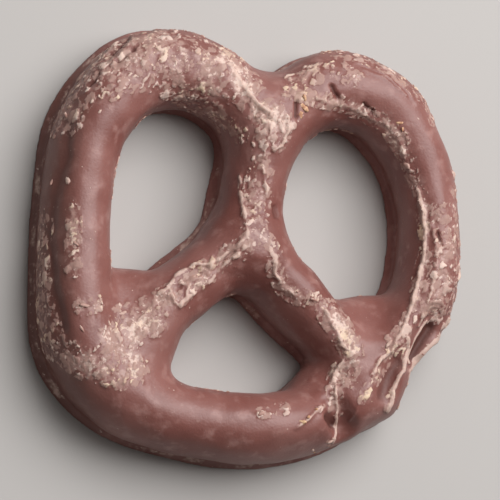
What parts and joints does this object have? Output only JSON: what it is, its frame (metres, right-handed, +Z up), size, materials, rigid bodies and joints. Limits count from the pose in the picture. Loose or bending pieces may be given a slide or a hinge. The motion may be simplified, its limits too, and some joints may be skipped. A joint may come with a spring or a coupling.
{
  "type": "chocolate covered pretzel",
  "caption": "Pretzel in a milk chocolate coat: a knotted strand with rounded lobes, a stem, spread arms and a bottom bar round open loops.",
  "frame": {"origin": "centre of the bounding box, on the flat sole that the pretzel lies on", "axes": "+Z up through the open loops, away from the sole; +Y from the bottom bar to the two lobes; +X to the right of the stem as seen from above"},
  "size_m": [0.044, 0.0438, 0.0093],
  "materials": {
    "milk_chocolate": "satin milk chocolate, scuffed pale along the crests"
  },
  "bodies": {
    "root": {"pretzel": "milk_chocolate"}
  },
  "joints": []
}
